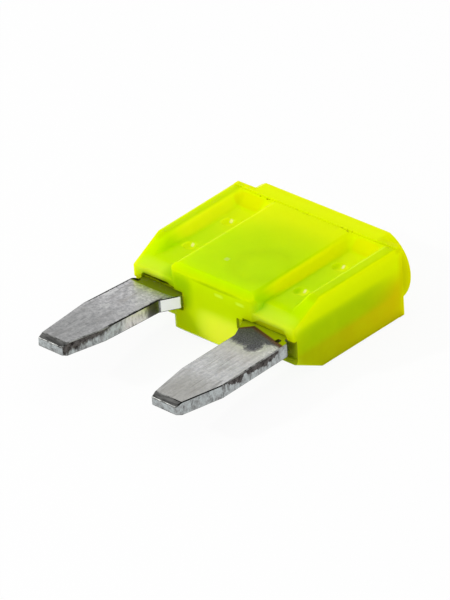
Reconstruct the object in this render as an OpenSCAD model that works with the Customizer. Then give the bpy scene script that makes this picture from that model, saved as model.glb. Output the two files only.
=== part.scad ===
// Mini-size automotive blade fuse lying on one broad face.
// X runs across the two blades, Y from the blade tips to the head, Z through the thickness.
// The origin is the middle of the seat face, where the moulded nose meets the fuse holder.

/* [Housing body] */
// Width across the two flanks at the head end
body_w = 10.9; // [10.6:0.1:12]
// Thickness over the two broad faces
body_t = 4; // [3.6:0.1:4.6]
// Length from the seat face to the step below the head cap
body_len = 8.05; // [7.8:0.05:9.5]
// How much each side draws in towards the mouth, for release from the mould
side_draft = 0.09; // [0:0.01:0.12]
// Thickness of the flanks at the mouth
mouth_t = 2; // [1.8:0.1:2.4]
// Length of the slope that thins the flanks towards the mouth
lead_in_len = 2; // [1.2:0.1:2.6]

/* [Head cap] */
// How far the head cap stands beyond the body
head_len = 0.75; // [0.4:0.05:1.5]
// Radius that rounds the two ends of the head cap
head_end_r = 2.2; // [2.1:0.1:3]
// Step from each side of the body in to the head cap
head_inset = 0.04; // [0.02:0.01:0.2]
// Chamfer round the outer rim of the head cap
head_chamfer = 0.1; // [0.05:0.05:0.3]
// Length of the finger band between its groove and the body's far end
band_len = 0.4; // [0.3:0.05:0.8]
// Width of the fine groove across each broad face
groove_w = 0.1; // [0.05:0.01:0.2]
// Depth of the fine groove
groove_depth = 0.06; // [0.03:0.01:0.1]
// Width of each test window in the end of the head
window_w = 1.7; // [1.2:0.1:2]
// Height of each test window
window_h = 0.8; // [0.5:0.1:0.9]

/* [Centre block and flank recesses] */
// Width of the centre block where it meets the recess floors
block_w = 5.84; // [5.6:0.02:6.2]
// How much narrower the block is, per side, at its broad face
block_slope = 0.3; // [0.1:0.05:0.4]
// Depth of the recess beside the block on each flank
recess_depth = 0.55; // [0.3:0.05:0.7]
// Width of the raised rim along each outer edge
rim_w = 0.75; // [0.5:0.05:0.9]
// How much wider the recess is at the rim's top than at its floor
rim_slope = 0.28; // [0.1:0.02:0.4]
// Length of the slope that ends each recess at the finger band
ramp_len = 0.65; // [0.3:0.05:1]
// Flat left between that slope and the groove
ramp_land = 0.12; // [0.1:0.01:0.4]
// Thickness of the nose at the seat face
nose_t = 3.3; // [3:0.1:3.5]
// How far the nose stands proud of the flanks, so that it alone seats
nose_proud = 0.05; // [0.02:0.01:0.2]
// How far back the nose reaches the full thickness
nose_slope_len = 0.35; // [0.2:0.05:0.6]
// Radius of the nose's upright corners
nose_corner_r = 0.5; // [0.3:0.05:0.7]

/* [Mouths and inside] */
// Gap left all round between the stamping and its pocket
slot_gap = 0.05; // [0.03:0.01:0.08]
// Chamfer that leads the stamping into its pocket
slot_lead = 0.12; // [0.05:0.01:0.2]
// Depth of the notch that carries each mouth out through the side
notch_depth = 0.2; // [0.1:0.05:0.3]
// Height of that notch
notch_h = 1; // [0.7:0.05:1.2]
// How far the notch sits below the middle of the blade
notch_drop = 0.2; // [0:0.05:0.3]
// Height of the tool pocket over and under each blade
pocket_h = 1.5; // [1.2:0.1:1.6]
// Depth of that pocket
pocket_depth = 0.16; // [0.14:0.02:0.3]
// Slope of the pocket's inner end, measured along X
pocket_slope_in = 0.5; // [0.2:0.05:0.6]
// Slope of the pocket's outer end, measured along X
pocket_slope_out = 0.2; // [0.1:0.05:0.6]
// Thickness of the nose wall in front of the link's chamber
nose_wall = 1.3; // [1:0.1:1.6]
// Height of the chamber that holds the link
chamber_h = 1.8; // [1.4:0.1:2.4]
// Clear length of the chamber beyond the link's crest
chamber_clear = 0.7; // [0.4:0.05:0.9]

/* [Stakes] */
// Distance from the seat face to the near pair of stakes
stake_y = 2.5; // [2.2:0.05:2.8]
// Distance between the two stakes of one flank
stake_pitch = 2.87; // [2.4:0.01:3.1]
// Radius of each stake inside the housing
stake_r = 0.42; // [0.3:0.02:0.5]
// Radius of the dimple that the staking punch leaves
dimple_r = 0.36; // [0.28:0.02:0.5]
// Depth of the dimple
dimple_depth = 0.2; // [0.1:0.02:0.3]

/* [Blades] */
// Distance between the middles of the two blades
blade_pitch = 7.75; // [7.5:0.05:7.8]
// Width of a blade
blade_w = 2.65; // [2.6:0.05:2.8]
// Thickness of the stamping
blade_t = 0.74; // [0.6:0.02:0.9]
// Length of a blade beyond the seat face
blade_len = 7.6; // [6.5:0.1:9]
// Width of a blade at its tip
tip_w = 1.6; // [1.2:0.1:2]
// How far the middle of a tip lies inward of the middle of its blade
tip_shift = 0.1; // [0:0.05:0.2]
// Length over which the blade narrows to its tip
tip_taper_len = 2.65; // [2:0.05:3.5]
// The same length on the left blade's outer edge, which is worn back
left_taper_len = 3.9; // [2:0.1:4.5]
// Thickness of a blade at its tip
tip_t = 0.46; // [0.3:0.02:0.6]
// Length of the coined bevel on each face at the tip
tip_bevel_len = 0.35; // [0.3:0.05:1]
// Angle in degrees by which handling has lifted the left blade
left_lift = 4; // [0:0.5:5]

/* [Terminals and link] */
// How far the inner flare steps in to the wider terminal
flare_w = 0.5; // [0.4:0.05:0.8]
// Distance from the seat face to the start of the flare
flare_start = 1.15; // [1:0.05:1.6]
// Distance from the seat face to the end of the flare
flare_end = 0.1; // [0.05:0.05:0.5]
// How far the terminal's outer edge lies inside the blade's
shoulder_w = 0.35; // [0.35:0.05:0.5]
// Radius of the blade's outer shoulder
shoulder_r = 0.25; // [0.1:0.05:0.3]
// Distance from the seat face to the shoulder
shoulder_gap = 0.12; // [0.05:0.01:0.2]
// Length of a terminal inside the housing
terminal_len = 6.4; // [6.2:0.1:6.8]
// Distance from the seat face to the link's feet
link_foot_y = 2.4; // [2.1:0.1:2.8]
// Distance from the seat face to the middle of the link's arch
link_centre_y = 4.65; // [4.2:0.05:4.9]
// Radius of the arch along its middle line
link_r = 1.15; // [0.9:0.05:1.3]
// Width of the link at its feet
link_foot_w = 0.75; // [0.6:0.05:0.9]
// Width of the link at its crest, where it melts
link_neck_w = 0.36; // [0.2:0.02:0.5]
// Thickness of the link
link_t = 0.3; // [0.2:0.02:0.5]

/* [Hidden] */
$fn = 48;
cut = 1;                                        // how far a cutter runs past the face it opens

half_w = body_w / 2;
half_t = body_t / 2;
head_y = body_len + head_len;                   // outer end of the head
groove_y = body_len - band_len;
floor_z = half_t - recess_depth;
block_side = block_w / 2;
rim_side = half_w - rim_w;
ramp_top_y = groove_y - ramp_land;

blade_x = blade_pitch / 2;
blade_in = blade_x - blade_w / 2;
blade_out = blade_x + blade_w / 2;
term_in = blade_in - flare_w;
term_out = blade_out - shoulder_w;
slot_in = term_in - slot_gap;
slot_out = term_out + slot_gap;
slot_h = blade_t + 2 * slot_gap;
slot_end = terminal_len + slot_gap;
stake_x = (block_side + rim_side - rim_slope) / 2;  // middle of the recess floor
stake_hole_r = stake_r + slot_gap;
crest_y = link_centre_y + link_r + link_neck_w / 2;
chamber_end = crest_y + chamber_clear;
window_x = (term_in + term_out) / 2;

// An outline drawn in Y and Z, drawn out along X about the middle plane
module along_x(length) {
    translate([-length / 2, 0, 0]) rotate([90, 0, 90]) linear_extrude(length) children();
}

// An outline drawn in X and Z, drawn out along Y between two places
module along_y(from, to) {
    translate([0, to, 0]) rotate([90, 0, 0]) linear_extrude(to - from) children();
}

// Repeats a right-hand feature on the left
module both_sides() {
    children();
    mirror([1, 0, 0]) children();
}

// Repeats an upper feature on the lower face
module both_faces() {
    children();
    mirror([0, 0, 1]) children();
}

// Centres of the four stakes
module at_stakes() {
    both_sides()
        for (k = [0, 1]) translate([stake_x, stake_y + k * stake_pitch, 0]) children();
}

// ---- Housing ----

// Flanks and rims: full thickness at the head, thinned to the mouth, sides drawn in
module flanks() {
    intersection() {
        along_x(body_w) polygon([
            [nose_proud, -mouth_t / 2], [nose_proud, mouth_t / 2], [lead_in_len, half_t],
            [body_len, half_t], [body_len, -half_t], [lead_in_len, -half_t]]);
        translate([0, 0, -half_t]) linear_extrude(body_t) polygon([
            [side_draft - half_w, 0], [half_w - side_draft, 0],
            [half_w, body_len], [-half_w, body_len]]);
    }
}

// Centre block between the recesses, ending in the nose between the blades
module centre_block() {
    inset = block_side - nose_corner_r;
    intersection() {
        along_y(0, body_len) polygon([
            [-block_side, -floor_z], [block_slope - block_side, -half_t],
            [block_side - block_slope, -half_t], [block_side, -floor_z],
            [block_side, floor_z], [block_side - block_slope, half_t],
            [block_slope - block_side, half_t], [-block_side, floor_z]]);
        along_x(block_w) polygon([
            [0, -nose_t / 2], [0, nose_t / 2], [nose_slope_len, half_t],
            [body_len, half_t], [body_len, -half_t], [nose_slope_len, -half_t]]);
        union() {
            translate([-block_side, nose_corner_r, -half_t])
                cube([block_w, body_len - nose_corner_r, body_t]);
            translate([-inset, 0, -half_t]) cube([2 * inset, body_len, body_t]);
            both_sides() translate([inset, nose_corner_r, -half_t])
                cylinder(r = nose_corner_r, h = body_t);
        }
    }
}

// Head cap that fingers or a puller grip: its ends rounded, its outer rim chamfered all round
module head_cap() {
    root = body_len - head_chamfer;
    rim = head_y - head_chamfer;
    half_head = half_w - head_inset;
    end_x = half_head - head_end_r;
    intersection() {
        along_x(body_w) polygon([
            [root, -half_t], [root, half_t], [rim, half_t], [head_y, half_t - head_chamfer],
            [head_y, head_chamfer - half_t], [rim, -half_t]]);
        translate([0, 0, -half_t]) linear_extrude(body_t) polygon([
            [-half_head, root], [half_head, root], [half_head, rim],
            [half_head - head_chamfer, head_y], [head_chamfer - half_head, head_y],
            [-half_head, rim]]);
        union() {
            translate([-end_x, root, -half_t]) cube([2 * end_x, head_y - root, body_t]);
            both_sides() translate([end_x, root, 0]) rotate([-90, 0, 0]) {
                cylinder(r = head_end_r, h = rim - root);
                translate([0, 0, rim - root])
                    cylinder(r1 = head_end_r, r2 = head_end_r - head_chamfer, h = head_chamfer);
            }
        }
    }
}

// Sunk panel between the centre block and one rim, open towards the mouth
module recess() {
    rise = recess_depth + cut;
    lean_out = rim_slope * rise / recess_depth;
    lean_end = ramp_len * rise / recess_depth;
    under_block = block_side - block_slope - nose_corner_r;
    intersection() {
        along_y(-cut, body_len) polygon([
            [under_block, floor_z], [rim_side - rim_slope, floor_z],
            [rim_side - rim_slope + lean_out, floor_z + rise], [under_block, floor_z + rise]]);
        along_x(body_w) polygon([
            [-cut, floor_z], [ramp_top_y - ramp_len, floor_z],
            [ramp_top_y - ramp_len + lean_end, floor_z + rise], [-cut, floor_z + rise]]);
    }
}

// Pocket that the terminal slides into, with the stakes left standing
module terminal_slot() {
    difference() {
        translate([slot_in, -cut, -slot_h / 2])
            cube([slot_out - slot_in, slot_end + cut, slot_h]);
        for (k = [0, 1]) translate([stake_x, stake_y + k * stake_pitch, -half_t])
            cylinder(r = stake_r, h = body_t);
    }
}

// Opening round one blade at the mouth: a lead-in, a tool pocket, and a notch out to the side
module mouth() {
    low = slot_h / 2;
    high = pocket_h / 2;
    lead = low + slot_lead;
    translate([(slot_in + block_side) / 2, 0, 0]) along_x(block_side - slot_in) polygon([
        [-cut, -lead - cut], [slot_lead, -low], [slot_lead, low], [-cut, lead + cut]]);
    along_y(-cut, pocket_depth) polygon([
        [blade_in, -low], [blade_in + pocket_slope_in, -high],
        [slot_out - pocket_slope_out, -high], [slot_out, -low],
        [slot_out, low], [slot_out - pocket_slope_out, high],
        [blade_in + pocket_slope_in, high], [blade_in, low]]);
    translate([slot_out - pocket_slope_out, -cut, -notch_drop - notch_h / 2])
        cube([half_w + cut, cut + notch_depth, notch_h]);
}

// Window that lets a probe reach the end of the terminal
module test_window() {
    translate([window_x - window_w / 2, terminal_len, -window_h / 2])
        cube([window_w, head_y + cut - terminal_len, window_h]);
}

module housing() {
    ball_r = (dimple_r * dimple_r + dimple_depth * dimple_depth) / (2 * dimple_depth);
    color("#cfe80f") difference() {
        union() {
            difference() {
                flanks();
                both_sides() both_faces() recess();
            }
            centre_block();
            head_cap();
        }
        both_sides() terminal_slot();
        both_sides() mouth();
        both_sides() test_window();
        translate([-slot_in - slot_gap, nose_wall, -chamber_h / 2])
            cube([2 * (slot_in + slot_gap), chamber_end - nose_wall, chamber_h]);
        both_faces() translate([-half_w - cut, groove_y - groove_w / 2, half_t - groove_depth])
            cube([body_w + 2 * cut, groove_w, groove_depth + cut]);
        both_faces() at_stakes() translate([0, 0, floor_z - dimple_depth + ball_r])
            sphere(r = ball_r);
    }
}

// ---- Fuse element ----

// Plan of the right-hand blade and terminal: tapered tip, flare, shoulder, square inner end
module blade_plan(outer_taper) {
    tip_y = -blade_len;
    tip_x = blade_x - tip_shift;
    shoulder_y = -shoulder_gap;
    steps = 6;
    arc = [for (k = [0:steps]) let (a = 90 * k / steps)
        [blade_out - shoulder_r + shoulder_r * cos(a),
         shoulder_y - shoulder_r + shoulder_r * sin(a)]];
    polygon(concat(
        [[tip_x - tip_w / 2, tip_y], [tip_x + tip_w / 2, tip_y],
         [blade_out, tip_y + outer_taper]],
        arc,
        [[term_out, shoulder_y], [term_out, terminal_len], [term_in, terminal_len],
         [term_in, -flare_end], [blade_in, -flare_start], [blade_in, tip_y + tip_taper_len]]));
}

// Thickness of one blade and terminal in Y and Z, bent at the seat face by an angle
module blade_edge(lift) {
    h = blade_t / 2;
    mitre = h * tan(lift / 2);
    along = [-cos(lift), sin(lift)];            // from the seat face to the tip
    up = [sin(lift), cos(lift)];
    bevel = blade_len - tip_bevel_len;
    polygon([
        [terminal_len, -h], [terminal_len, h], [mitre, h],
        bevel * along + h * up, blade_len * along + tip_t / 2 * up,
        blade_len * along - tip_t / 2 * up, bevel * along - h * up, [-mitre, -h]]);
}

// One blade with its terminal, on the right
module blade(lift, outer_taper) {
    reach = blade_out + cut;
    intersection() {
        translate([0, 0, -reach]) linear_extrude(2 * reach) blade_plan(outer_taper);
        translate([reach / 2, 0, 0]) along_x(reach) blade_edge(lift);
    }
}

// Fusible link: two legs and an arch, widest at the feet and narrowest at the crest
module link() {
    foot_x = term_in + link_foot_w / 2;
    steps = 12;
    legs = [[foot_x, link_foot_y], [(foot_x + link_r) / 2, (link_foot_y + link_centre_y) / 2]];
    crown = [for (k = [0:steps]) let (a = 180 * k / steps)
        [link_r * cos(a), link_centre_y + link_r * sin(a)]];
    line = concat(legs, crown, [for (k = [1, 0]) [-legs[k][0], legs[k][1]]]);
    count = len(line);
    function slope(k) = let (a = line[max(k - 1, 0)], b = line[min(k + 1, count - 1)])
        (b - a) / norm(b - a);
    function width(k) = link_neck_w
        + (link_foot_w - link_neck_w) * abs(2 * k / (count - 1) - 1);
    function edge(k, side) = line[k] + side * width(k) / 2 * [slope(k)[1], -slope(k)[0]];
    translate([0, 0, -link_t / 2]) linear_extrude(link_t) polygon(concat(
        [for (k = [0:count - 1]) edge(k, 1)], [for (k = [count - 1:-1:0]) edge(k, -1)]));
}

module fuse_element() {
    color("#a9aba8") difference() {
        union() {
            blade(0, tip_taper_len);
            mirror([1, 0, 0]) blade(left_lift, left_taper_len);
            link();
        }
        at_stakes() translate([0, 0, -blade_t]) cylinder(r = stake_hole_r, h = 2 * blade_t);
    }
}

housing();
fuse_element();
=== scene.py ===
import math

import bpy
from mathutils import Matrix, Vector


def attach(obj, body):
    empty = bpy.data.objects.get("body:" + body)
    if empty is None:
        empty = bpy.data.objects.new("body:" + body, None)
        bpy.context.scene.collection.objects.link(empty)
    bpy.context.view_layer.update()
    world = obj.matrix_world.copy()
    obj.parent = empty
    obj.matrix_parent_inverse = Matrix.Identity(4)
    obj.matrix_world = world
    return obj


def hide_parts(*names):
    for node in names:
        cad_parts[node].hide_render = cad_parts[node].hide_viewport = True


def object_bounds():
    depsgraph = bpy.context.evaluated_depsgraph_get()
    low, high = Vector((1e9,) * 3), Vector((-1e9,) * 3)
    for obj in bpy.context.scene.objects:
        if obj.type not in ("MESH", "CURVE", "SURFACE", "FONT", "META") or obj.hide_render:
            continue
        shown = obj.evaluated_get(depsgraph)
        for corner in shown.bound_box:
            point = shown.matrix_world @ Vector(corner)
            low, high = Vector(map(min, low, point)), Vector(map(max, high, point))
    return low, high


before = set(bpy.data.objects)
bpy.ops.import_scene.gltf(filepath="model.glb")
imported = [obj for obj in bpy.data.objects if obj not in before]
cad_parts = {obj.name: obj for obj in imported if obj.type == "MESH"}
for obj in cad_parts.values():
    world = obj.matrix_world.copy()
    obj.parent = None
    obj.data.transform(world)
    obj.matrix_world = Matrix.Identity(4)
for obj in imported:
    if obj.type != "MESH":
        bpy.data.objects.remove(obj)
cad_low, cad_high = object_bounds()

MM = 0.001


# ---------------------------------------------------------------------------
# Housing: one injection moulding in translucent fluorescent polycarbonate,
# round the inner half of the metal. The mould leaves a small radius on most
# edges and a satin gloss; the hollow inside is painted as a deeper green cloud of shade.
# ---------------------------------------------------------------------------
RECESS_RADIUS = 0.24 * MM
RIM_RADIUS = 0.08 * MM
CORNER_RADIUS = 0.12 * MM                       # the rims' outer corners
LIP_RADIUS = 0.05 * MM                          # finger band and nose lip
CAP_RADIUS = 0.03 * MM


def copy_of_node(name, new_name):
    """A welded copy of a CAD solid, with the flat triangles joined into whole faces."""
    bpy.ops.object.select_all(action="DESELECT")
    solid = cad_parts[name]
    solid.select_set(True)
    bpy.context.view_layer.objects.active = solid
    bpy.ops.object.duplicate()
    piece = bpy.context.object
    piece.name = new_name
    piece.parent = None
    bpy.ops.object.mode_set(mode="EDIT")
    bpy.ops.mesh.select_all(action="SELECT")
    bpy.ops.mesh.remove_doubles(threshold=0.0001 * MM)
    bpy.ops.mesh.dissolve_limited(angle_limit=math.radians(1))
    bpy.ops.object.mode_set(mode="OBJECT")
    piece.data.materials.clear()
    return piece


def round_edges(piece, segments, radius_at, finish=-1):
    """Rounds each sharp edge of a piece to radius_at(middle, length, turn), 0 for none."""
    bpy.ops.object.select_all(action="DESELECT")
    piece.select_set(True)
    bpy.context.view_layer.objects.active = piece
    bpy.ops.object.shade_smooth_by_angle(angle=math.radians(12))
    mesh = piece.data
    faces_at = {}
    for face in mesh.polygons:
        for key in face.edge_keys:
            faces_at.setdefault(key, []).append(face.normal.copy())
    radii = {}
    for edge in mesh.edges:
        a, b = (mesh.vertices[i].co for i in edge.vertices)
        turn = math.degrees(faces_at[edge.key][0].angle(faces_at[edge.key][1], 0))
        if turn > 12:
            radii[edge.index] = radius_at((a + b) / 2, (a - b).length, turn)
    widest = max(radii.values())
    weight = mesh.attributes.new("bevel_weight_edge", "FLOAT", "EDGE")
    for index, radius in radii.items():
        weight.data[index].value = radius / widest
    bevel = piece.modifiers.new("edge radius", "BEVEL")
    bevel.limit_method = "WEIGHT"
    bevel.width = widest
    bevel.segments = segments
    bevel.use_clamp_overlap = False
    bevel.harden_normals = True
    bevel.material = finish
    bpy.ops.object.modifier_apply(modifier=bevel.name)


def linear(hex_colour, alpha=1.0):
    """An sRGB hex colour as the linear colour that a shader takes."""
    parts = [int(hex_colour[i:i + 2], 16) / 255 for i in (1, 3, 5)]
    parts = [p / 12.92 if p <= 0.04045 else ((p + 0.055) / 1.055) ** 2.4 for p in parts]
    return (*parts, alpha)


def add(tree, kind, inputs=None, **settings):
    """Adds one node: settings are its own, inputs are values or the sockets that feed it."""
    made = tree.nodes.new("ShaderNode" + kind)
    for name, value in settings.items():
        setattr(made, name, value)
    for name, value in (inputs or {}).items():
        if isinstance(value, bpy.types.NodeSocket):
            tree.links.new(value, made.inputs[name])
        else:
            made.inputs[name].default_value = value
    return made


def new_material(name):
    """An empty node material, with its tree and output, and object coordinates in millimetres."""
    material = bpy.data.materials.new(name)
    material.use_nodes = True
    tree = material.node_tree
    tree.nodes.clear()
    output = add(tree, "OutputMaterial")
    place = add(tree, "TexCoord")
    in_mm = add(tree, "Mapping", {"Vector": place.outputs["Object"], "Scale": (1 / MM,) * 3})
    return material, tree, output, in_mm.outputs["Vector"]


def patch(tree, at, middle, half, edge=0.5):
    """1 within a rounded box at middle (mm) with these half sizes, fading to 0 at its rim."""
    grow = [1 / h for h in half]
    shift = [-m * g for m, g in zip(middle, grow)]
    near = add(tree, "Mapping", {"Vector": at, "Location": shift, "Scale": grow})
    squared = add(tree, "VectorMath", {0: near.outputs[0], 1: near.outputs[0]}, operation="MULTIPLY")
    far = add(tree, "VectorMath", {0: squared.outputs[0]}, operation="LENGTH")
    fade = add(tree, "MapRange", {"Value": far.outputs["Value"], "From Min": 1.0, "From Max": 1.0 - edge},
               interpolation_type="SMOOTHSTEP")
    return fade.outputs["Result"]


def beyond(tree, at, normal, offset, soft=0.04):
    """0 on one side of a plane (normal . place = offset, in mm) and 1 on the other."""
    height = add(tree, "VectorMath", {0: at, 1: normal}, operation="DOT_PRODUCT")
    fade = add(tree, "MapRange", {"Value": height.outputs["Value"], "From Min": offset - soft,
                                  "From Max": offset + soft})
    return fade.outputs["Result"]


def either(tree, *shares):
    """The largest of several shares."""
    most = shares[0]
    for share in shares[1:]:
        most = add(tree, "Math", {0: most, 1: share}, operation="MAXIMUM").outputs[0]
    return most


def tint(tree, colour, share, hex_colour, strength=1.0):
    """Lays a colour over another by a share and a strength."""
    amount = add(tree, "Math", {0: share, 1: strength}, operation="MULTIPLY", use_clamp=True)
    over = add(tree, "Mix", {0: amount.outputs[0], 6: colour, 7: linear(hex_colour)}, data_type="RGBA")
    return over.outputs[2]


# Polycarbonate with fluorescent dye, moulded: light spreads 1.5 mm inside it, so that faces glow
# and walls look soft; its colour is painted yellower on thick, lit parts as painted light, and towards
# orange on the far, low side as painted shade.
moulded, tree, output, at = new_material("translucent moulded polycarbonate")
ALL = 90.0
split = add(tree, "SeparateXYZ", {"Vector": at})
x_mm, y_mm, z_mm = split.outputs[0], split.outputs[1], split.outputs[2]
# painted light and shade: the body is a shade darker on the right, away from the softbox, and painted
# lighter towards the head
to_head = add(tree, "MapRange", {"Value": y_mm, "From Min": 3.2, "From Max": 7.4},
              interpolation_type="SMOOTHSTEP").outputs["Result"]
to_right = add(tree, "MapRange", {"Value": x_mm, "From Min": -5.0, "From Max": 5.4}).outputs["Result"]
body = add(tree, "Mix", {0: to_right, 6: linear("#C0E800"), 7: linear("#B8E200")},
           data_type="RGBA").outputs[2]
body = tint(tree, body, to_head, "#E6F600", 0.85)
# painted shade over the hollow with the link in it: a deeper cloud on both broad faces, with a painted
# shadow of the link, darkest in a ring. The ring lies where the link's shadow is seen by a slanting eye,
# nearer the mouth than the link itself
hollow_shade = patch(tree, at, (1.0, 3.0, 0), (3.3, 3.9, ALL), 0.75)
ring = add(tree, "Mapping", {"Vector": at, "Location": (-1.2, -2.5, 0), "Scale": (1, 1, 0)})
ring_far = add(tree, "VectorMath", {0: ring.outputs[0]}, operation="LENGTH")
ring_share = add(tree, "Math", {0: ring_far.outputs["Value"], 1: 0.25}, operation="MULTIPLY")
arch = add(tree, "ValToRGB", {"Fac": ring_share.outputs[0]})
stops = arch.color_ramp.elements
stops[0].position, stops[0].color = 0.15, (0, 0, 0, 1)
stops[1].position, stops[1].color = 0.50, (0, 0, 0, 1)
top_of_arch = stops.new(0.35)
top_of_arch.color = (1, 1, 1, 1)
body = tint(tree, body, hollow_shade, "#B4E000", 0.4)
link_shade = add(tree, "Math", {0: arch.outputs["Color"], 1: hollow_shade}, operation="MULTIPLY")
body = tint(tree, body, link_shade.outputs[0], "#A6D000", 0.35)
# painted glow on the slopes round each recess, walls thin enough for light to cross, brighter on the left
# towards the softbox; the rims' tops are painted darker
across = add(tree, "VectorMath", {0: at}, operation="ABSOLUTE").outputs[0]
slope_long = patch(tree, across, (2.8, 4.2, 1.7), (0.34, 3.8, 0.38), 0.7)
slope_rim = patch(tree, across, (4.55, 4.9, 1.72), (0.42, 3.2, 0.42), 0.8)
body = tint(tree, body, slope_long, "#ECFF00")
rim_glow = add(tree, "Mix", {0: to_right, 6: linear("#EAFF10"), 7: linear("#C4EC00")},
               data_type="RGBA").outputs[2]
body = add(tree, "Mix", {0: slope_rim, 6: body, 7: rim_glow}, data_type="RGBA").outputs[2]
rim_top = patch(tree, across, (5.2, 4.4, 2.05), (0.48, 5.0, 0.3), 0.7)
body = tint(tree, body, rim_top, "#B0CE00", 0.75)
# the punch's dimples over the stakes, painted bright as lit hollows, each with a painted highlight, a pale
# spot near its far side
for dimple_y in (2.5, 5.37):
    lit_dimple = patch(tree, across, (3.81, dimple_y, 1.35), (0.36, 0.36, 0.2), 0.6)
    dimple_highlight = patch(tree, across, (3.74, dimple_y + 0.24, 1.4), (0.1, 0.1, 0.2), 0.7)
    body = tint(tree, body, lit_dimple, "#E8FF10", 0.7)
    body = tint(tree, body, dimple_highlight, "#FAFF98")
# the long sides: painted bright where the wall behind is thin, painted shade low down, warmer towards the
# head, and a painted shadow where the metal stands inside
on_side = beyond(tree, across, (1, -0.011, 0), 5.33, 0.03)
low = add(tree, "MapRange", {"Value": z_mm, "From Min": 1.1, "From Max": -0.4},
          interpolation_type="SMOOTHSTEP").outputs["Result"]
side_low_shade = add(tree, "Math", {0: on_side, 1: low}, operation="MULTIPLY").outputs[0]
along = add(tree, "MapRange", {"Value": y_mm, "From Min": 1.0, "From Max": 8.0}).outputs["Result"]
low_shade_colour = add(tree, "Mix", {0: along, 6: linear("#B0BA00"), 7: linear("#E0D000")}, data_type="RGBA").outputs[2]
body = tint(tree, body, on_side, "#E2FC00", 0.85)
shaded_side = add(tree, "Mix", {0: side_low_shade, 6: body, 7: low_shade_colour}, data_type="RGBA").outputs[2]
metal_shadow = patch(tree, at, (0, 3.2, 0.1), (ALL, 4.8, 0.9), 1.0)
side_metal_shadow = add(tree, "Math", {0: on_side, 1: metal_shadow}, operation="MULTIPLY")
body = tint(tree, shaded_side, side_metal_shadow.outputs[0], "#ACD400", 0.85)
# the head cap's ends tinted oranger, painted shade on the finger band's right end, and painted glow on the
# ramps below it
CAP_END, CAP_END_HALF = (5.6, 8.5, 0), (0.9, 0.9, 2.4)
body = tint(tree, body, patch(tree, across, CAP_END, CAP_END_HALF, 1.0), "#D2D400")
body = tint(tree, body, patch(tree, at, (5.1, 7.9, 2.0), (1.2, 0.4, 0.4), 0.9), "#C6DA00", 0.9)
ramp = patch(tree, across, (3.9, 7.15, 1.72), (1.0, 0.45, 0.34), 0.6)
body = tint(tree, body, ramp, "#E2E400", 0.8)
# the nose: its front painted darker, the lead-ins tinted paler, a painted glow low down, a painted shade
# line in the crease under the block's edge, two painted highlights, and painted shade beside the left mouth
front = add(tree, "MapRange", {"Value": y_mm, "From Min": 0.3, "From Max": 0.04}).outputs["Result"]
body = tint(tree, body, front, "#C2DE00", 0.9)
lead_in = patch(tree, across, (4.0, 0.1, 1.1), (1.6, 0.75, 0.6), 1.0)
body = tint(tree, body, lead_in, "#CAF034", 0.75)
body = tint(tree, body, patch(tree, at, (0.6, 0, -0.9), (2.0, 0.6, 1.2), 1.0), "#E8FF38")
body = tint(tree, body, patch(tree, at, (0.3, 0, 1.58), (1.9, 0.4, 0.12), 1.0), "#98B800", 0.65)
for highlight_x in (0.5, 1.9):
    nose_highlight = patch(tree, at, (highlight_x, 0, 1.24), (0.36, 0.3, 0.12), 1.0)
    body = tint(tree, body, nose_highlight, "#DCF850", 0.5)
body = tint(tree, body, patch(tree, at, (-2.4, 0, 0.6), (1.3, 1.0, 1.2), 0.9), "#8ABA00", 0.8)
# the mouths: painted shade, olive in the pockets and darker still in the slots and slits behind them,
# with painted shadow lines under the left lip and beside the right slot, and painted shadow low in each
# notch
reach_in = add(tree, "MapRange", {"Value": y_mm, "From Min": 0.06, "From Max": 0.16}).outputs["Result"]
for pocket_x, pocket_high, pocket_shade_colour in ((3.6, 0.86, "#BCCE00"), (-3.6, 0.6, "#748400")):
    around = patch(tree, at, (pocket_x, 0.25, 0), (1.7, 0.9, pocket_high), 0.08)
    pocket_shade = add(tree, "Math", {0: reach_in, 1: around}, operation="MULTIPLY")
    body = tint(tree, body, pocket_shade.outputs[0], pocket_shade_colour, 0.9)
body = tint(tree, body, patch(tree, at, (-3.6, 0.12, 0.58), (1.3, 0.14, 0.06), 0.3), "#0C0E00")
notch = patch(tree, across, (4.95, 0.0, -0.1), (0.95, 0.26, 1.15), 0.1)
under = add(tree, "MapRange", {"Value": z_mm, "From Min": 0.34, "From Max": 0.28}).outputs["Result"]
notch_shadow = add(tree, "Math", {0: notch, 1: under}, operation="MULTIPLY")
body = tint(tree, body, notch_shadow.outputs[0], "#66720A", 0.9)
slot_shade = patch(tree, at, (0, 3.5, 0), (5.2, 3.4, 0.6), 0.1)
body = tint(tree, body, slot_shade, "#4E5C00", 0.9)
body = tint(tree, body, patch(tree, at, (1.88, 0, 0.1), (0.16, 0.2, 0.33), 0.1), "#98A800", 0.9)
body = tint(tree, body, patch(tree, at, (1.7, 0, 0.1), (0.1, 0.2, 0.34), 0.3), "#2A3400", 0.9)
slit_shade = patch(tree, across, (2.2, 0, 0), (0.26, 0.2, 0.55), 0.1)
body = tint(tree, body, slit_shade, "#5A6A00", 0.8)
# the gate's pale scar, faint clouds from the flow of the melt, and dust caught in the groove
body = tint(tree, body, patch(tree, at, (-0.66, 1.96, 2.0), (0.17, 0.17, 0.3), 0.8), "#C8DC80", 0.5)
flow = add(tree, "TexNoise", {"Vector": at, "Scale": 0.9, "Detail": 3.0, "Roughness": 0.6})
cloudy = add(tree, "MapRange", {"Value": flow.outputs["Fac"], "From Min": 0.35, "From Max": 0.7})
body = tint(tree, body, cloudy.outputs["Result"], "#D8F000", 0.16)
dust = add(tree, "TexNoise", {"Vector": at, "Scale": 1.9, "Detail": 4.0, "Roughness": 0.75})
caught = add(tree, "MapRange", {"Value": dust.outputs["Fac"], "From Min": 0.60, "From Max": 0.66})
in_groove = patch(tree, across, (0, 7.6, 2.0), (ALL, 0.11, 0.3), 0.4)
specks = add(tree, "Math", {0: caught.outputs["Result"], 1: in_groove}, operation="MULTIPLY")
body = tint(tree, body, specks.outputs[0], "#3A4A00", 0.9)
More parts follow.
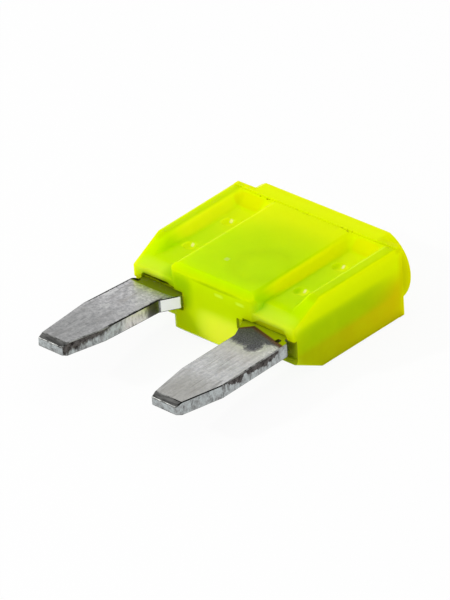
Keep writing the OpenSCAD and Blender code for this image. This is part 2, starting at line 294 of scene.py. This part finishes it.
# satin skin from the mould: ripples of 0.5 mm, far coarser than the real ones so that they show,
# and 0.02 mm high; the cap's ends came from a rougher part of the mould
skin = add(tree, "TexNoise", {"Vector": at, "Scale": 2.0, "Detail": 4.0, "Roughness": 0.5})
satin = add(tree, "MapRange", {"Value": skin.outputs["Fac"], "To Min": 0.12, "To Max": 0.22})
sparked = add(tree, "Math", {0: patch(tree, across, CAP_END, CAP_END_HALF, 0.8), 1: 0.45,
                             2: satin.outputs["Result"]}, operation="MULTIPLY_ADD")
ripple = add(tree, "Bump", {"Height": skin.outputs["Fac"], "Strength": 0.12, "Distance": 0.02 * MM})
shader = add(tree, "BsdfPrincipled", {
    "Base Color": body, "Roughness": sparked.outputs[0], "IOR": 1.58, "Specular IOR Level": 0.02,
    "Specular Tint": linear("#FFFF00"), "Normal": ripple.outputs["Normal"],
    "Subsurface Weight": 1.0, "Subsurface Radius": (1.0, 1.0, 0.1), "Subsurface Scale": 1.5 * MM})
tree.links.new(shader.outputs["BSDF"], output.inputs["Surface"])

housing = copy_of_node("housing", "moulded_housing")


def housing_radius(middle, length, turn):
    """Generous radii in the recesses and on the block, small ones on the outer rims.

    None inside, in the groove, or where two radii would run into each other.
    """
    x, y, z = abs(middle.x) / MM, middle.y / MM, abs(middle.z) / MM
    inside = z < 0.96 and x < 5.2 and y < 8.4
    block_foot = abs(x - 2.92) < 0.02 and y < 0.75
    cap_foot = abs(y - 8.05) < 0.02 and x < 5.43 and z < 1.97
    if inside or block_foot or cap_foot or length < 0.2 * MM or abs(y - 7.65) < 0.1 or 8.06 < y < 8.65:
        return 0
    if y > 7.9:
        return CAP_RADIUS
    if y > 7.4 or z > 1.99 and y < 0.4:
        return LIP_RADIUS
    if x < 4.8 and z > 1.4 and 0.4 < y:
        return RECESS_RADIUS
    if x > 5.3 and z > 1.5 and 0.5 < y:
        return CORNER_RADIUS
    return RIM_RADIUS


round_edges(housing, 4, housing_radius)
housing.data.materials.append(moulded)
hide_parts("housing")
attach(housing, "root")


# ---------------------------------------------------------------------------
# Fuse element: one stamping in zinc alloy strip, 0.74 mm thick. Its broad faces
# keep the strip's rolling lines, and its cut edges are part burnished by the
# punch and part torn. The blade tips are coined to a bevel.
# ---------------------------------------------------------------------------
# Zinc strip, cold rolled: bright grey with lines along the strip, drawn 0.1 mm apart where the
# real ones are finer, and a few grey-brown stains.
zinc, tree, output, at = new_material("rolled zinc strip")
along_strip = add(tree, "Mapping", {"Vector": at, "Scale": (7.0, 0.4, 1.0)})
lines = add(tree, "TexNoise", {
    "Vector": along_strip.outputs[0], "Scale": 1.0, "Detail": 5.0, "Roughness": 0.6})
lined = add(tree, "MapRange", {"Value": lines.outputs["Fac"], "From Min": 0.34, "From Max": 0.7})
metal = add(tree, "Mix", {0: lined.outputs["Result"], 6: linear("#D6D5D6"), 7: linear("#B8B7B8")},
            data_type="RGBA").outputs[2]
long_way = add(tree, "Mapping", {"Vector": at, "Scale": (1.7, 0.6, 1.0)})
blots = add(tree, "TexNoise", {
    "Vector": long_way.outputs[0], "Scale": 1.3, "Detail": 5.0, "Roughness": 0.65})
stained = add(tree, "MapRange", {"Value": blots.outputs["Fac"], "From Min": 0.52, "From Max": 0.7})
metal = tint(tree, metal, stained.outputs["Result"], "#928C86", 0.6)
pale = add(tree, "MapRange", {"Value": blots.outputs["Fac"], "From Min": 0.44, "From Max": 0.32})
metal = tint(tree, metal, pale.outputs["Result"], "#CDCFCC", 0.45)
# handling: mottles of 0.2 mm, and scratches that run almost lengthwise
handled = add(tree, "TexNoise", {"Vector": at, "Scale": 5.0, "Detail": 5.0, "Roughness": 0.75})
mottled = add(tree, "MapRange", {"Value": handled.outputs["Fac"], "From Min": 0.4, "From Max": 0.64})
metal = tint(tree, metal, mottled.outputs["Result"], "#8E9298", 0.5)
slanted = add(tree, "Mapping", {"Vector": at, "Rotation": (0, 0, 0.12), "Scale": (9.0, 0.7, 1.0)})
scores = add(tree, "TexNoise", {
    "Vector": slanted.outputs[0], "Scale": 1.0, "Detail": 3.0, "Roughness": 0.6})
scored = add(tree, "MapRange", {"Value": scores.outputs["Fac"], "From Min": 0.6, "From Max": 0.66})
metal = tint(tree, metal, scored.outputs["Result"], "#5E5C5A", 0.45)
# the left blade is worn harder than the right, and painted darker towards its tip
on_left = beyond(tree, at, (-1, 0, 0), 0.0)
hard_worn = add(tree, "Math", {0: mottled.outputs["Result"], 1: on_left}, operation="MULTIPLY")
metal = tint(tree, metal, hard_worn.outputs[0], "#6C6A6A", 0.4)
scuffed = add(tree, "Math", {0: pale.outputs["Result"], 1: on_left}, operation="MULTIPLY")
metal = tint(tree, metal, scuffed.outputs[0], "#ECECEA", 0.5)
darker_to_tip = patch(tree, at, (-3.9, -7.0, 0.9), (2.0, 5.6, 0.9), 1.0)
metal = tint(tree, metal, darker_to_tip, "#6E706E", 0.5)
# the right blade: tinted pinkish by its mouth, painted against the green reflection of the housing, and
# darker near its tip
metal = tint(tree, metal, patch(tree, at, (3.9, -1.8, 0.4), (1.8, 1.8, 0.6), 1.0), "#CEC4CC", 0.35)
metal = tint(tree, metal, patch(tree, at, (3.9, -6.6, 0.4), (1.6, 2.2, 0.6), 1.0), "#8C8A80", 0.55)
# a dark patch where the right blade leaves its mouth, torn in outline
ragged = add(tree, "TexNoise", {"Vector": at, "Scale": 1.6, "Detail": 6.0, "Roughness": 0.75})
reach = add(tree, "Math", {0: ragged.outputs["Fac"], 1: -0.5}, operation="ADD")
shove = add(tree, "CombineXYZ", {"X": reach.outputs[0], "Y": reach.outputs[0]})
moved = add(tree, "VectorMath", {0: at, 1: shove.outputs[0]}, operation="ADD").outputs[0]
dark_patch = either(tree, patch(tree, moved, (3.1, 0.0, 0.4), (1.08, 1.84, 0.6), 0.4),
               patch(tree, moved, (4.05, -1.25, 0.4), (0.46, 0.82, 0.6), 0.8),
               patch(tree, moved, (4.6, 0.0, 0.4), (1.2, 1.02, 0.6), 0.5))
# bright chips in the metal beside the dark patch, and flecks within it
flecks = add(tree, "TexNoise", {"Vector": at, "Scale": 14.0, "Detail": 2.0, "Roughness": 0.6})
chips = add(tree, "TexNoise", {"Vector": at, "Scale": 3.5, "Detail": 3.0, "Roughness": 0.7})
chipped = add(tree, "MapRange", {"Value": chips.outputs["Fac"], "From Min": 0.52, "From Max": 0.6})
by_mouth = patch(tree, at, (4.5, -1.3, 0.4), (1.0, 0.8, 0.6), 0.6)
bright = add(tree, "Math", {0: chipped.outputs["Result"], 1: by_mouth}, operation="MULTIPLY")
metal = tint(tree, metal, bright.outputs[0], "#F0EEF2", 0.6)
dark_patch_flecks = add(tree, "MapRange", {"Value": flecks.outputs["Fac"], "From Min": 0.4, "From Max": 0.75})
dark_patch_colour = add(tree, "Mix", {0: dark_patch_flecks.outputs["Result"], 6: linear("#504E56"), 7: linear("#767580")},
           data_type="RGBA").outputs[2]
metal = add(tree, "Mix", {0: dark_patch, 6: metal, 7: dark_patch_colour}, data_type="RGBA").outputs[2]
# painted green shadow: the housing's shadow, tinted green by the plastic, painted on the metal at each
# mouth, skewed on the right, where its edge is painted brown shade
green_shadow_left = patch(tree, at, (-3.9, 0.1, 0.45), (1.9, 0.56, 0.6), 0.04)
green_shadow_fringe = patch(tree, at, (-3.9, 0.1, 0.45), (1.92, 0.6, 0.6), 0.06)
on_right = beyond(tree, at, (1, 0, 0), 0.0)
ALONG_MOUTH, ALONG_CORNER = (0.24, 1, 0), (-1, 0.92, 0)
brown_shade_edge = either(tree, beyond(tree, at, ALONG_MOUTH, 0.5, 0.12),
                beyond(tree, at, ALONG_CORNER, -2.96, 0.12))
green_shadow_edge = either(tree, beyond(tree, at, ALONG_MOUTH, 0.69), beyond(tree, at, ALONG_CORNER, -2.8))
brown_shade = add(tree, "Math", {0: brown_shade_edge, 1: on_right}, operation="MULTIPLY").outputs[0]
green_shadow_right = add(tree, "Math", {0: green_shadow_edge, 1: on_right}, operation="MULTIPLY").outputs[0]
green_shadow = either(tree, green_shadow_left, green_shadow_right)
metal = tint(tree, metal, brown_shade, "#6E4420", 0.9)
metal = tint(tree, metal, green_shadow_fringe, "#A8B060", 0.8)
metal = tint(tree, metal, green_shadow_left, "#6C7A00", 0.97)
metal = tint(tree, metal, green_shadow_right, "#98AA00", 0.97)
# painted shadow in the outer corner by each mouth
metal = tint(tree, metal, patch(tree, at, (4.66, -0.34, 0.4), (0.15, 0.16, 0.3), 0.3), "#140E04", 0.95)
metal = tint(tree, metal, patch(tree, at, (-4.95, -0.22, 0.45), (0.28, 0.14, 0.5), 0.3), "#10100A", 0.95)
# dark, wandering lines along both edges of the left blade
shake = add(tree, "VectorMath", {0: shove.outputs[0], "Scale": 0.35}, operation="SCALE")
nudged = add(tree, "VectorMath", {0: at, 1: shake.outputs[0]}, operation="ADD").outputs[0]
metal = tint(tree, metal, patch(tree, nudged, (-5.17, -1.9, 0.5), (0.12, 1.9, 0.4), 0.4), "#10100F", 0.9)
metal = tint(tree, metal, patch(tree, nudged, (-2.55, -3.4, 0.5), (0.1, 2.9, 0.4), 0.4), "#10100F", 0.9)
# where the painted green shadow lies the surface is set as plastic and not metal; grit clings to all of it
bare = add(tree, "Math", {0: 1.0, 1: green_shadow}, operation="SUBTRACT")
grit = add(tree, "TexNoise", {"Vector": at, "Scale": 9.0, "Detail": 2.0, "Roughness": 0.7})
gritty = add(tree, "MapRange", {"Value": grit.outputs["Fac"], "From Min": 0.62, "From Max": 0.7})
metal = tint(tree, metal, gritty.outputs["Result"], "#8C8A86", 0.35)
dull = add(tree, "MapRange", {"Value": lines.outputs["Fac"], "To Min": 0.25, "To Max": 0.45})
rough = add(tree, "Math", {0: dark_patch, 1: 0.25, 2: dull.outputs["Result"]}, operation="MULTIPLY_ADD")
drawn = add(tree, "Bump", {"Height": lines.outputs["Fac"], "Strength": 0.12, "Distance": 0.01 * MM})
shader = add(tree, "BsdfPrincipled", {
    "Base Color": metal, "Roughness": rough.outputs[0], "Metallic": bare.outputs[0],
    "Specular IOR Level": 0.0, "Normal": drawn.outputs["Normal"]})
tree.links.new(shader.outputs["BSDF"], output.inputs["Surface"])

# Zinc edge cut by a punch: the lower part burnished bright, the upper part torn, grey and
# pitted, with a wandering line between them.
sheared, tree, output, at = new_material("sheared zinc edge")
split = add(tree, "SeparateXYZ", {"Vector": at})
left = beyond(tree, at, (-1, 0, 0), 0.0)
raised = add(tree, "Math", {0: left, 1: split.outputs[1]}, operation="MULTIPLY")
level = add(tree, "Math", {0: raised.outputs[0], 1: 0.07, 2: split.outputs[2]}, operation="MULTIPLY_ADD")
edgewise = add(tree, "Mapping", {"Vector": at, "Scale": (0.5, 1.0, 0.5)})
wander = add(tree, "TexNoise", {
    "Vector": edgewise.outputs[0], "Scale": 1.0, "Detail": 6.0, "Roughness": 0.7})
ragged = add(tree, "MapRange", {"Value": wander.outputs["Fac"], "From Min": 0.3, "From Max": 0.7,
                                "To Min": -0.35, "To Max": 0.35})
height = add(tree, "Math", {0: level.outputs[0], 1: ragged.outputs["Result"]}, operation="ADD")
flat = add(tree, "CombineXYZ", {
    "X": split.outputs[0], "Y": split.outputs[1], "Z": height.outputs[0]}).outputs[0]
# torn along the right blade's upper edge, and on the left in a wedge that deepens to the tip
wedge = add(tree, "Math", {0: left, 1: beyond(tree, flat, (0, -0.24, 1), 1.36, 0.1)}, operation="MULTIPLY")
clear_of_end = beyond(tree, at, (0, 1, 0), -7.53, 0.02)
wedge = add(tree, "Math", {0: wedge.outputs[0], 1: clear_of_end}, operation="MULTIPLY")
strip = patch(tree, flat, (4.0, -2.95, 0.55), (3.9, 2.15, 0.5), 0.14)
torn = either(tree, strip, wedge.outputs[0])
pits = add(tree, "TexNoise", {"Vector": at, "Scale": 4.0, "Detail": 5.0, "Roughness": 0.7})
pitted = add(tree, "MapRange", {"Value": pits.outputs["Fac"], "From Min": 0.42, "From Max": 0.62})
edge_metal = add(tree, "Mix", {0: pitted.outputs["Result"], 6: linear("#B5BCBC"), 7: linear("#969797")},
                 data_type="RGBA").outputs[2]
torn_metal = add(tree, "Mix", {0: pitted.outputs["Result"], 6: linear("#6A6664"), 7: linear("#2A2624")},
                 data_type="RGBA").outputs[2]
both = add(tree, "Mix", {0: torn, 6: edge_metal, 7: torn_metal}, data_type="RGBA").outputs[2]
# each inner flare is painted near white as a reflection of the light; the left edge is painted in shade
# beside it, and marked further on
across = add(tree, "VectorMath", {0: at}, operation="ABSOLUTE").outputs[0]
flare_reflection = patch(tree, across, (2.2, 0.55, 0), (0.4, 0.58, ALL), 0.1)
shaded = patch(tree, at, (-2.55, -1.55, 0), (0.2, 0.58, ALL), 0.9)
burnished = patch(tree, at, (-2.5, -2.7, 0.2), (0.4, 1.3, 0.8), 0.9)
both = tint(tree, both, burnished, "#ECE4E2", 0.6)
crosswise = add(tree, "Mapping", {"Vector": at, "Scale": (1.0, 2.6, 1.0)})
marks = add(tree, "TexNoise", {
    "Vector": crosswise.outputs[0], "Scale": 1.6, "Detail": 4.0, "Roughness": 0.7})
marked = add(tree, "MapRange", {"Value": marks.outputs["Fac"], "From Min": 0.5, "From Max": 0.62})
both = tint(tree, both, shaded, "#383436", 0.9)
both = tint(tree, both, marked.outputs["Result"], "#4A4644", 0.6)
both = tint(tree, both, flare_reflection, "#FCFEFC", 0.88)
rough = add(tree, "MapRange", {"Value": torn, "To Min": 0.35, "To Max": 0.6})
pocked = add(tree, "Bump", {"Height": pits.outputs["Fac"], "Strength": 0.35, "Distance": 0.02 * MM})
shader = add(tree, "BsdfPrincipled", {
    "Base Color": both, "Roughness": rough.outputs["Result"], "Metallic": 1.0,
    "Normal": pocked.outputs["Normal"]})
tree.links.new(shader.outputs["BSDF"], output.inputs["Surface"])

# Zinc pressed between dies at the tips: smoother than the rolled face, and painted dark as a painted
# reflection of darker surroundings.
coined, tree, output, at = new_material("coined zinc tip")
pressed_way = add(tree, "Mapping", {"Vector": at, "Scale": (0.7, 3.0, 1.0)})
squash = add(tree, "TexNoise", {
    "Vector": pressed_way.outputs[0], "Scale": 1.5, "Detail": 4.0, "Roughness": 0.6})
rubbed = add(tree, "MapRange", {"Value": squash.outputs["Fac"], "From Min": 0.35, "From Max": 0.65})
tip_dark_reflection = add(tree, "Mix", {0: rubbed.outputs["Result"], 6: linear("#767674"), 7: linear("#3A3A39")},
              data_type="RGBA").outputs[2]
shader = add(tree, "BsdfPrincipled", {"Base Color": tip_dark_reflection, "Roughness": 0.3, "Metallic": 1.0})
tree.links.new(shader.outputs["BSDF"], output.inputs["Surface"])

# Zinc at the very edge: a thin burr line, mottled dark, and near black on the left blade and by the right
# tip.
burr, tree, output, at = new_material("dark zinc burr")
burr_mottle = add(tree, "TexNoise", {"Vector": at, "Scale": 1.8, "Detail": 4.0, "Roughness": 0.7})
bare = add(tree, "MapRange", {"Value": burr_mottle.outputs["Fac"], "From Min": 0.36, "From Max": 0.56})
burr_metal = add(tree, "Mix", {0: bare.outputs["Result"], 6: linear("#2A2A29"), 7: linear("#9A9B98")},
                 data_type="RGBA").outputs[2]
blackened = either(tree, patch(tree, at, (-3.9, -2.2, 0.3), (2.0, 2.7, 1.2), 0.1),
                   patch(tree, at, (4.9, -6.2, 0.3), (0.9, 1.3, 0.6), 0.1))
burr_metal = tint(tree, burr_metal, blackened, "#0A0A09", 0.92)
shader = add(tree, "BsdfPrincipled", {"Base Color": burr_metal, "Roughness": 0.4, "Metallic": 1.0})
tree.links.new(shader.outputs["BSDF"], output.inputs["Surface"])

element = copy_of_node("fuse_element", "stamped_element")
ROLLED, SHEARED, COINED, BURR = range(4)
for metal_finish in (zinc, sheared, coined, burr):
    element.data.materials.append(metal_finish)
for face in element.data.polygons:
    facing_up = abs(face.normal.z)
    face.material_index = SHEARED if facing_up < 0.6 else COINED if facing_up < 0.98 else ROLLED


def blade_radius(middle, length, turn):
    """Only the blades outside the housing, which the eye can reach."""
    if middle.y > -0.05 * MM:
        return 0
    return 0.05 * MM if turn > 60 else 0.03 * MM


round_edges(element, 3, blade_radius, BURR)
for face in element.data.polygons:
    if face.material_index == BURR and abs(face.normal.z) < 0.1:
        face.material_index = SHEARED             # upright corners are cut, not rubbed
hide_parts("fuse_element")
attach(element, "root")


# ---------------------------------------------------------------------------
# Floor, light and camera: a white table, a soft white room, one softbox to the
# left, and a long lens that looks down on the seat end and the right side.
# ---------------------------------------------------------------------------
FLOOR_GAP = 0.01 * MM                           # keeps the floor and the underside apart
bpy.ops.mesh.primitive_plane_add(size=2, location=(0, 0, cad_low.z - FLOOR_GAP))
floor = bpy.context.object
floor.name = "floor"
bpy.ops.object.transform_apply(location=True, rotation=True, scale=True)
paper, tree, output, at = new_material("white paper")
path = add(tree, "LightPath")
matt = add(tree, "BsdfDiffuse", {"Color": linear("#F6F6F6")})
glow = add(tree, "Emission", {"Color": (1, 1, 1, 1), "Strength": 1.0})
shown = either(tree, path.outputs["Is Camera Ray"], path.outputs["Is Glossy Ray"])
seen = add(tree, "Math", {0: shown, 1: 0.92}, operation="MULTIPLY")
mix = add(tree, "MixShader", {0: seen.outputs[0], 1: matt.outputs[0], 2: glow.outputs[0]})
tree.links.new(mix.outputs[0], output.inputs["Surface"])
floor.data.materials.append(paper)

room = bpy.data.worlds.new("white room")
bpy.context.scene.world = room
room.use_nodes = True
tree = room.node_tree
tree.nodes.clear()
output = add(tree, "OutputWorld")
path = add(tree, "LightPath")
shown = either(tree, path.outputs["Is Camera Ray"], path.outputs["Is Glossy Ray"])
strength = add(tree, "MapRange", {"Value": shown, "To Min": 0.78, "To Max": 1.0})
sky = add(tree, "Background", {"Color": (1, 1, 1, 1), "Strength": strength.outputs["Result"]})
tree.links.new(sky.outputs[0], output.inputs["Surface"])

KEY_FROM = Vector((-0.51, -0.67, 0.55)).normalized()
KEY_DISTANCE = 200 * MM
bpy.ops.object.light_add(type="AREA", location=KEY_FROM * KEY_DISTANCE)
key = bpy.context.object
key.name = "softbox"
key.rotation_mode = "QUATERNION"
key.rotation_quaternion = KEY_FROM.to_track_quat("Z", "Y")
key.data.shape = "SQUARE"
key.data.size = 15 * MM
key.data.energy = 0.15

AZIMUTH, ELEVATION, ROLL = math.radians(44.46), math.radians(31.31), math.radians(-4.11)
DISTANCE = 246.7 * MM
AIM = Vector((0, 1 * MM, 0))
back = Vector((
    math.sin(AZIMUTH) * math.cos(ELEVATION), -math.cos(AZIMUTH) * math.cos(ELEVATION),
    math.sin(ELEVATION)))
level = Vector((math.cos(AZIMUTH), math.sin(AZIMUTH), 0))
upright = back.cross(level)
right = math.cos(ROLL) * level + math.sin(ROLL) * upright
up = back.cross(right)
bpy.ops.object.camera_add()
camera = bpy.context.object
camera.name = "camera"
turn = Matrix((right, up, back)).transposed().to_4x4()
camera.matrix_world = Matrix.Translation(AIM + DISTANCE * back) @ turn
camera.data.lens = 300
camera.data.sensor_width = 36
camera.data.shift_x = -0.0021
camera.data.shift_y = 0.0099
camera.data.clip_start = 10 * MM
camera.data.clip_end = 10
bpy.context.scene.camera = camera
bpy.context.scene.view_settings.view_transform = "Standard"
